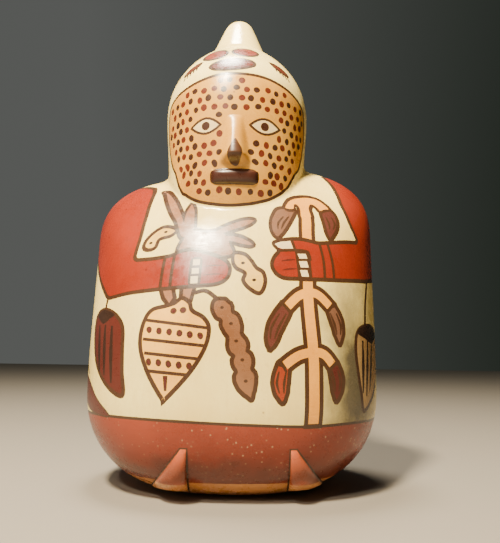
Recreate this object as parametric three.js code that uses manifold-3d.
// Figure vessel of fired clay: a broad, rounded body with feet modelled in front,
// a hooded head growing out of the shoulders, and behind it a short pouring spout
// tied to the hood's peak by a strap bridge. One hollow piece, open at the spout.
// Millimetres, +Z up, the figure faces -Y, origin in the middle of the resting spot.

import * as THREE from 'three';
import { mergeVertices } from 'three/addons/utils/BufferGeometryUtils.js';
import Module from 'manifold-3d';

// Body
const BODY_HEIGHT = 201.5; // to the top of the shoulders, under the head
const BODY_WIDTH = 182.6;
const BODY_DEPTH = 155;
const BELLY_HEIGHT = 58; // where the body is widest
const BELLY_ROUNDING = 2.15; // exponent of the curve from the resting spot to the belly
const RESTING_SPOT_WIDTH = 62;
const SHOULDER_WIDTH = 178.6;
const SHOULDER_DROP = 51.5; // how far below the top the shoulders begin to round over
const SHOULDER_ROUNDING = 2.9;
const SHOULDER_TILT = 4; // the right shoulder stands this much too high, the left too low
const CHEST_DROP = 130; // how far below the top the chest begins to slope back
const CHEST_ROUNDING = 2;
const BACK_DROP = 91.5;
const BACK_ROUNDING = 2.2;
const PLAN_ROUNDING = 2.3; // exponent of the body's plan, 2 being an ellipse

// Head and hood
const HEAD_WIDTH = 91.2;
const HEAD_DEPTH = 91;
const HEAD_FORWARD = 17.5; // from the body's axis to the head's own
const HEAD_RISE = 31.5; // from the shoulders' top to the head's widest level
const NECK_WIDTH = 87;
const NECK_REACH = 43; // how far below its widest level the head narrows to the neck
const JAW_REACH = 62; // depth over which the jaw curves back under the face
const CHIN_DROP = 36; // from the shoulders' top down to the chin
const CROWN_RISE = 54.5; // from the widest level to the top of the crown
const CROWN_ROUNDING = 1.8; // exponent of the crown's outline, 2 being an ellipse
const RIM_RISE = 45.5; // from the shoulders' top to the hood's rim on the forehead
const PEAK_RISE = 27.5; // the hood's peak above the crown
const PEAK_WIDTH = 14.8;
const PEAK_FLARE = 0.33; // half-width the peak gains for each mm down
const PEAK_CAP = 9; // height of the peak's rounded end
const PEAK_BACK = 5; // how far behind the body's axis the peak ends
const PEAK_FILLET = 6;

// Face, by thirds: rim to brow, brow to the nose's base, and that to the chin
const NOSE_WIDTH = 15;
const NOSE_PROUD = 9;
const BRIDGE_OF_NOSE_WIDTH = 7;
const MOUTH_WIDTH = 27;
const MOUTH_HEIGHT = 7.5;
const MOUTH_PROUD = 1.8;

// Feet, tucked under the body in front, each a wedge with its toes turned out
const FEET_GAP = 55; // between the feet's inner edges
const FEET_SHIFT = 5.5; // the feet's middle lies this far to the right of the body's
const FOOT_WIDTH = 23;
const FOOT_HEIGHT = 26;
const FOOT_CLEARANCE = 5; // from the ground up to the sole
const FOOT_PROUD = 12;
const ANKLE_WIDTH = 6;

// Wall, spout and bridge
const WALL = 5;
const SPOUT_BORE = 13;
const SPOUT_WALL = 3.8;
const SPOUT_TAPER = 4.5; // how much wider the spout's outside is at its foot, on the radius
const LIP_FLARE = 1.2;
const LIP_HEIGHT = 6;
const SPOUT_BELOW_PEAK = 14;
const FINGER_GAP = 17; // between the back of the head and the spout
const BRIDGE_WIDTH = 13;
const BRIDGE_THICKNESS = 6.5;
const BRIDGE_ARCH = 4; // how far the strap bows above a straight line
const BRIDGE_BELOW_LIP = 12; // where the strap's middle meets the spout
const BRIDGE_BELOW_PEAK = 6.5;

// Fineness of the facets
const BODY_COLUMNS = 52;
const HEAD_COLUMNS = 40;
const ROW_STEP = 6.5; // mm along the outline
const INNER_COLUMNS = 26;
const INNER_ROW_STEP = 13;
const RELIEF_SIDES = 14;
const RELIEF_ROWS = 9;
const SPOUT_SIDES = 24;
const BRIDGE_STEPS = 12;

// Levels and places that follow from the sizes
const HEAD_LEVEL = BODY_HEIGHT + HEAD_RISE;
const CROWN_LEVEL = HEAD_LEVEL + CROWN_RISE;
const RIM_LEVEL = BODY_HEIGHT + RIM_RISE;
const CHIN_LEVEL = BODY_HEIGHT - CHIN_DROP;
const TOP = CROWN_LEVEL + PEAK_RISE;
const FACE_HEIGHT = RIM_LEVEL - CHIN_LEVEL;
const BROW_LEVEL = RIM_LEVEL - FACE_HEIGHT / 3;
const NOSE_BASE_LEVEL = CHIN_LEVEL + FACE_HEIGHT / 3;
const MOUTH_LEVEL = NOSE_BASE_LEVEL - FACE_HEIGHT / 9;
const SPOUT_RADIUS = SPOUT_BORE / 2 + SPOUT_WALL;
const SPOUT_FOOT_RADIUS = SPOUT_RADIUS + SPOUT_TAPER;
const HEAD_BACK = HEAD_DEPTH / 2 - HEAD_FORWARD;
const SPOUT_BACK = HEAD_BACK + FINGER_GAP + SPOUT_FOOT_RADIUS;
const SPOUT_TOP = TOP - SPOUT_BELOW_PEAK;

const clamp01 = (t) => Math.min(Math.max(t, 0), 1);
const smooth = (t) => clamp01(t) ** 2 * (3 - 2 * clamp01(t));
const mix = (a, b, t) => a + (b - a) * t;

// Quarter of a rounded curve: 1 at t = 0, falling to 0 at t = 1
const quarter = (t, exponent) => (1 - clamp01(t) ** exponent) ** (1 / exponent);

// The larger of two values, with a fillet of about that size where they meet
function smoothMax(a, b, fillet) {
  const t = clamp01(0.5 + (0.5 * (a - b)) / fillet);
  return mix(b, a, t) + fillet * t * (1 - t);
}

// Point of the body's outside at an angle (0 to the right, -90 degrees in front) and a height
function bodyPoint(angle, height) {
  const cos = Math.cos(angle);
  const sin = Math.sin(angle);
  const spot = RESTING_SPOT_WIDTH / 2;
  const belly = quarter(1 - height / BELLY_HEIGHT, BELLY_ROUNDING);
  const shoulderLevel = BODY_HEIGHT - SHOULDER_DROP;
  const narrowing = smooth((height - BELLY_HEIGHT) / (shoulderLevel - BELLY_HEIGHT));
  const side = mix(spot, BODY_WIDTH / 2, belly) * mix(1, SHOULDER_WIDTH / BODY_WIDTH, narrowing);
  const above = (drop) => (height - BODY_HEIGHT + drop) / drop;
  const a = side * quarter(above(SHOULDER_DROP), SHOULDER_ROUNDING);
  const slope = sin < 0
    ? quarter(above(CHEST_DROP), CHEST_ROUNDING)
    : quarter(above(BACK_DROP), BACK_ROUNDING);
  const b = mix(spot, BODY_DEPTH / 2, belly) * slope;
  const n = PLAN_ROUNDING;
  const radius = (Math.abs(cos / a) ** n + Math.abs(sin / b) ** n) ** (-1 / n);
  const tilt = SHOULDER_TILT * cos * smooth((height - BELLY_HEIGHT) / (shoulderLevel - BELLY_HEIGHT));
  const ease = smooth((radius * 2) / HEAD_WIDTH);
  return new THREE.Vector3(radius * cos, radius * sin, height + tilt * ease);
}

// Point of the outside of the head and hood, from under the chin to the peak
function headPoint(angle, z) {
  const cos = Math.cos(angle);
  const sin = Math.sin(angle);
  let half = z > HEAD_LEVEL
    ? (HEAD_WIDTH / 2) * quarter((z - HEAD_LEVEL) / CROWN_RISE, CROWN_ROUNDING)
    : mix(NECK_WIDTH / 2, HEAD_WIDTH / 2, quarter((HEAD_LEVEL - z) / NECK_REACH, 2));
  if (z > RIM_LEVEL) {
    half = smoothMax(half, PEAK_WIDTH / 2 + PEAK_FLARE * (TOP - z), PEAK_FILLET);
  }
  half *= quarter((z - TOP + PEAK_CAP) / PEAK_CAP, 3);
  const jaw = sin < 0 ? quarter((BODY_HEIGHT - z) / JAW_REACH, 2) : 1;
  const depth = half * (HEAD_DEPTH / HEAD_WIDTH) * jaw;
  const lean = (Math.max(z - RIM_LEVEL, 0) / (TOP - RIM_LEVEL)) ** 1.3;
  return new THREE.Vector3(half * cos, mix(-HEAD_FORWARD, PEAK_BACK, lean) + depth * sin, z);
}

// A point of a surface moved inwards by the wall, square to the surface
function inwards(surface, angle, z) {
  const turn = 0.01;
  const rise = 0.4;
  const around = surface(angle + turn, z).sub(surface(angle - turn, z));
  const along = surface(angle, z + rise).sub(surface(angle, z));
  return surface(angle, z).addScaledVector(around.cross(along).normalize(), -WALL);
}

// Heights of the rows of facets, evenly spaced along the outline seen from the front
function rowHeights(surface, low, high, step) {
  const heights = [low];
  const probe = 0.2;
  let travelled = 0;
  let last = surface(0, low);
  for (let z = low + probe; z < high - probe; z += probe) {
    const point = surface(0, z);
    travelled += point.distanceTo(last);
    last = point;
    if (travelled >= step) {
      heights.push(z);
      travelled = 0;
    }
  }
  return heights;
}

// Count angles all the way round, from the front
const anglesRound = (count) => Array.from({ length: count }, (_, i) => ((i / count) - 0.25) * 2 * Math.PI);

// A closed skin through rows of points, each row running once round, ended by two poles
function closedSkin(rows, bottomPole, topPole) {
  const count = rows[0].length;
  const positions = rows.flat().concat(bottomPole, topPole).flatMap((p) => p.toArray());
  const index = [];
  const bottom = rows.length * count;
  const top = bottom + 1;
  const lastRow = (rows.length - 1) * count;
  for (let i = 0; i < count; i += 1) {
    const next = (i + 1) % count;
    index.push(bottom, next, i);
    index.push(top, lastRow + i, lastRow + next);
    for (let row = 0; row < lastRow; row += count) {
      index.push(row + i, row + next, row + count + next);
      index.push(row + i, row + count + next, row + count + i);
    }
  }
  const geometry = new THREE.BufferGeometry();
  geometry.setAttribute('position', new THREE.Float32BufferAttribute(positions, 3));
  geometry.setIndex(index);
  return geometry;
}

// A skin round a surface, from a flat or hidden bottom up to a pole
function skin(pointAt, heights, columns, bottomPole, topPole) {
  const rows = heights.map((z) => anglesRound(columns).map((angle) => pointAt(angle, z)));
  return closedSkin(rows, bottomPole, topPole);
}

const onAxis = (y, z) => new THREE.Vector3(0, y, z);

function bodySkin() {
  const heights = rowHeights(bodyPoint, 0, BODY_HEIGHT, ROW_STEP);
  return skin(bodyPoint, heights, BODY_COLUMNS, onAxis(0, 0), onAxis(0, BODY_HEIGHT));
}

function headSkin() {
  const low = CHIN_LEVEL - WALL;
  const heights = rowHeights(headPoint, low, TOP, ROW_STEP);
  return skin(headPoint, heights, HEAD_COLUMNS, onAxis(0, low), onAxis(PEAK_BACK, TOP));
}

function bodyHollow() {
  const heights = rowHeights(bodyPoint, 0, BODY_HEIGHT - WALL / 2, INNER_ROW_STEP);
  const pointAt = (angle, z) => inwards(bodyPoint, angle, z);
  return skin(pointAt, heights, INNER_COLUMNS, onAxis(0, WALL), onAxis(0, BODY_HEIGHT - WALL));
}

function headHollow() {
  const low = CHIN_LEVEL - 3 * WALL;
  const heights = rowHeights(headPoint, low, CROWN_LEVEL, INNER_ROW_STEP);
  const pointAt = (angle, z) => inwards(headPoint, angle, z);
  return skin(pointAt, heights, INNER_COLUMNS, onAxis(-HEAD_FORWARD, low), onAxis(0, CROWN_LEVEL));
}

// How far forward a surface lies at a place across and up
function frontOf(surface, x, z) {
  let right = 0;
  let front = -Math.PI / 2;
  for (let i = 0; i < 24; i += 1) {
    const middle = (right + front) / 2;
    if (surface(middle, z).x > Math.abs(x)) right = middle;
    else front = middle;
  }
  return surface((right + front) / 2, z).y;
}

// A raised shape on a front surface: section(t) gives its edges and height for t from 0 to 1
function raised(surface, section) {
  const rows = Array.from({ length: RELIEF_ROWS + 1 }, (_, row) => {
    const { left, right, z, proud } = section(row / RELIEF_ROWS);
    return Array.from({ length: RELIEF_SIDES }, (_unused, side) => {
      const angle = (side / RELIEF_SIDES) * 2 * Math.PI;
      const x = mix(left, right, 0.5 + 0.5 * Math.cos(angle));
      const depth = Math.sin(angle) < 0 ? Math.sin(angle) * proud : Math.sin(angle) * WALL;
      return new THREE.Vector3(x, frontOf(surface, x, z) + depth, z);
    });
  });
  const middleOf = (row) => row.reduce((sum, p) => sum.add(p), new THREE.Vector3()).divideScalar(row.length);
  return closedSkin(rows, middleOf(rows[0]), middleOf(rows[RELIEF_ROWS]));
}

// Ridge nose, narrow between the eyes and widest and proudest at its base
function nose() {
  return raised(headPoint, (t) => {
    const tip = quarter(1 - t / 0.2, 2);
    const half = mix(NOSE_WIDTH, BRIDGE_OF_NOSE_WIDTH, t) / 2 * mix(0.75, 1, tip);
    const z = mix(NOSE_BASE_LEVEL, BROW_LEVEL, t);
    return { left: -half, right: half, z, proud: NOSE_PROUD * mix(0.45, 1, tip) * (1 - t) ** 0.8 };
  });
}

// Mouth, a rounded bar across the face
function mouth() {
  return raised(headPoint, (t) => {
    const bulge = Math.sqrt(Math.max(1 - (2 * t - 1) ** 2, 0));
    const half = (MOUTH_WIDTH / 2) * mix(0.9, 1, bulge);
    const z = MOUTH_LEVEL + MOUTH_HEIGHT * (t - 0.5);
    return { left: -half, right: half, z, proud: MOUTH_PROUD * bulge };
  });
}

// A foot: inner edge upright, outer edge slanting out to the toes, standing out most low down
function foot(sideSign) {
  return raised(bodyPoint, (t) => {
    const toes = quarter(1 - t / 0.35, 2);
    const ankle = quarter((t - 0.85) / 0.15, 2);
    const inner = FEET_GAP / 2 + (FOOT_WIDTH / 6) * (1 - toes) + (ANKLE_WIDTH / 3) * (1 - ankle);
    const width = mix(FOOT_WIDTH, ANKLE_WIDTH, t) - (FOOT_WIDTH / 3) * (1 - toes);
    const edges = [inner, inner + width * mix(0.3, 1, ankle)].map((x) => FEET_SHIFT + sideSign * x);
    const proud = FOOT_PROUD * (1 - t) * mix(0.25, 1, toes) + 0.5;
    return { left: Math.min(...edges), right: Math.max(...edges), z: FOOT_CLEARANCE + FOOT_HEIGHT * t, proud };
  });
}

// Height at which the body's back has drawn in to a given depth
function backHeightAt(depth) {
  let z = BODY_HEIGHT - BACK_DROP;
  while (z < BODY_HEIGHT && bodyPoint(Math.PI / 2, z).y > depth) z += 1;
  return z;
}

// A solid of revolution about the spout's axis, from [radius, height] pairs
function turned(profile) {
  const points = profile.map(([radius, height]) => new THREE.Vector2(radius, height));
  return new THREE.LatheGeometry(points, SPOUT_SIDES).rotateX(Math.PI / 2).translate(0, SPOUT_BACK, 0);
}

function spoutTube() {
  const foot = backHeightAt(SPOUT_BACK + SPOUT_FOOT_RADIUS) - 2 * WALL;
  return turned([
    [0, foot],
    [SPOUT_FOOT_RADIUS, foot],
    [SPOUT_RADIUS, SPOUT_TOP - LIP_HEIGHT],
    [SPOUT_RADIUS + LIP_FLARE, SPOUT_TOP - LIP_HEIGHT / 4],
    [SPOUT_RADIUS + LIP_FLARE / 2, SPOUT_TOP],
    [0, SPOUT_TOP],
  ]);
}

function spoutBore() {
  const foot = backHeightAt(SPOUT_BACK + SPOUT_BORE / 2) - 5 * WALL;
  return turned([
    [0, foot],
    [SPOUT_BORE / 2, foot],
    [SPOUT_BORE / 2, SPOUT_TOP + WALL],
    [0, SPOUT_TOP + WALL],
  ]);
}

// Strap with rounded edges, bowed from the hood's peak to the spout
function bridge() {
  const start = new THREE.Vector3(0, PEAK_BACK, TOP - BRIDGE_BELOW_PEAK);
  const end = new THREE.Vector3(0, SPOUT_BACK, SPOUT_TOP - BRIDGE_BELOW_LIP);
  const middle = start.clone().lerp(end, 0.5);
  middle.z += BRIDGE_ARCH;
  const path = new THREE.CatmullRomCurve3([start, middle, end]);
  const halfWidth = BRIDGE_WIDTH / 2;
  const halfThickness = BRIDGE_THICKNESS / 2;
  const edge = halfThickness * 0.8;
  const section = new THREE.Shape();
  section.moveTo(-halfWidth + edge, -halfThickness);
  section.lineTo(halfWidth - edge, -halfThickness);
  section.quadraticCurveTo(halfWidth, -halfThickness, halfWidth, 0);
  section.quadraticCurveTo(halfWidth, halfThickness, halfWidth - edge, halfThickness);
  section.lineTo(-halfWidth + edge, halfThickness);
  section.quadraticCurveTo(-halfWidth, halfThickness, -halfWidth, 0);
  section.quadraticCurveTo(-halfWidth, -halfThickness, -halfWidth + edge, -halfThickness);
  return new THREE.ExtrudeGeometry(section, {
    steps: BRIDGE_STEPS,
    curveSegments: 3,
    extrudePath: path,
    bevelEnabled: false,
  });
}

const wasm = await Module();
wasm.setup();

function solid(geometry) {
  geometry.deleteAttribute('normal');
  geometry.deleteAttribute('uv');
  const merged = mergeVertices(geometry);
  return new wasm.Manifold(new wasm.Mesh({
    numProp: 3,
    vertProperties: new Float32Array(merged.attributes.position.array),
    triVerts: new Uint32Array(merged.index.array),
  }));
}

function asGeometry(manifold) {
  const { vertProperties, triVerts } = manifold.getMesh();
  const geometry = new THREE.BufferGeometry();
  geometry.setAttribute('position', new THREE.Float32BufferAttribute(vertProperties, 3));
  geometry.setIndex(Array.from(triVerts));
  geometry.computeVertexNormals();
  return geometry;
}

const outside = [
  headSkin(), nose(), mouth(), foot(-1), foot(1), spoutTube(), bridge(),
].reduce((sum, geometry) => sum.add(solid(geometry)), solid(bodySkin()));
const clay = [bodyHollow(), headHollow(), spoutBore()]
  .reduce((rest, geometry) => rest.subtract(solid(geometry)), outside);

const slip = new THREE.MeshStandardMaterial({ color: 0xe9d7b0, roughness: 0.35, metalness: 0 });
const vessel = new THREE.Mesh(asGeometry(clay), slip);
vessel.name = 'vessel';

const figureVessel = new THREE.Group();
figureVessel.add(vessel);

export default figureVessel;
